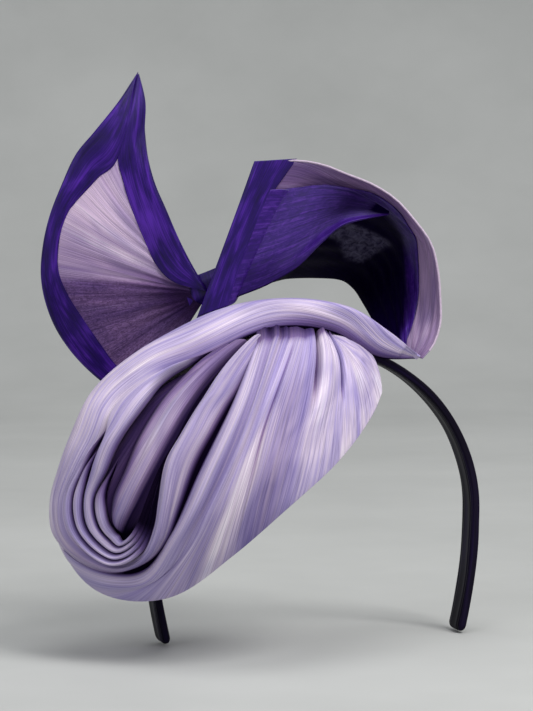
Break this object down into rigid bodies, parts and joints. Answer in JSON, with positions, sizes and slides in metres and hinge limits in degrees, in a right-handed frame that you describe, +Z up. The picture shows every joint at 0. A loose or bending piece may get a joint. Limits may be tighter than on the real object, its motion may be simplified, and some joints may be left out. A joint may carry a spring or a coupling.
{
  "type": "fascinator headpiece",
  "caption": "Teardrop percher fascinator with a draped silk swirl, a bound upright leaf and a ribbon loop, sewn to a satin-covered spring headband.",
  "frame": {"origin": "centre of the headband's round arc, midway between its arms, on the band's centre line", "axes": "+Z up through the crown of the band, -Y the way the wearer faces, +X the wearer's left"},
  "size_m": [0.1972, 0.1197, 0.2475],
  "materials": {
    "band_core": "moulded, matte",
    "band_satin": "dark aubergine satin",
    "buckram": "stiffened open weave",
    "millinery_wire": "cotton-covered spring wire",
    "lining_cloth": "plain woven lining",
    "petersham": "ribbed petersham ribbon",
    "lilac_silk": "lilac silk abaca with fine streaks",
    "mauve_silk": "stiffened mauve silk abaca",
    "violet_silk": "stiffened violet silk abaca",
    "violet_satin": "violet bias-cut satin",
    "felt": "dense wool felt",
    "thread": "sewing thread"
  },
  "bodies": {
    "crown": {"crown_core": "band_core", "crown_sleeve": "band_satin", "foundation": "buckram", "foundation_wire": "millinery_wire", "lining": "lining_cloth", "headsize_ribbon": "petersham", "rim_binding": "lilac_silk", "front_panel": "lilac_silk", "swirl_pleat_1": "lilac_silk", "swirl_pleat_2": "lilac_silk", "swirl_pleat_3": "lilac_silk", "swirl_pleat_4": "lilac_silk", "inner_pleat": "lilac_silk", "top_roll": "lilac_silk", "leaf_panel": "mauve_silk", "leaf_backing": "violet_silk", "leaf_edge_binding": "violet_satin", "leaf_side_binding": "violet_satin", "leaf_wire": "millinery_wire", "loop_outer": "mauve_silk", "loop_lining": "violet_silk", "loop_front_fold": "violet_silk", "loop_end_binding": "violet_satin", "loop_wire": "millinery_wire", "trim_knot": "violet_satin", "trim_tab": "buckram", "band_pad": "felt", "band_stitches": "thread"},
    "left_arm": {"left_arm_core": "band_core", "left_sleeve": "band_satin", "left_tip_cap": "band_satin"},
    "right_arm": {"right_arm_core": "band_core", "right_sleeve": "band_satin", "right_tip_cap": "band_satin"}
  },
  "joints": [
    {"name": "left_arm_flex", "type": "hinge", "parent": "crown", "child": "left_arm", "pos_m": [0.02514, 0, 0.06907], "axis": [0, -1, 0], "range_deg": [-6, 10], "stiffness_Nm_per_rad": 0.6},
    {"name": "right_arm_flex", "type": "hinge", "parent": "crown", "child": "right_arm", "pos_m": [-0.02514, 0, 0.06907], "axis": [0, 1, 0], "range_deg": [-6, 10], "stiffness_Nm_per_rad": 0.6}
  ]
}
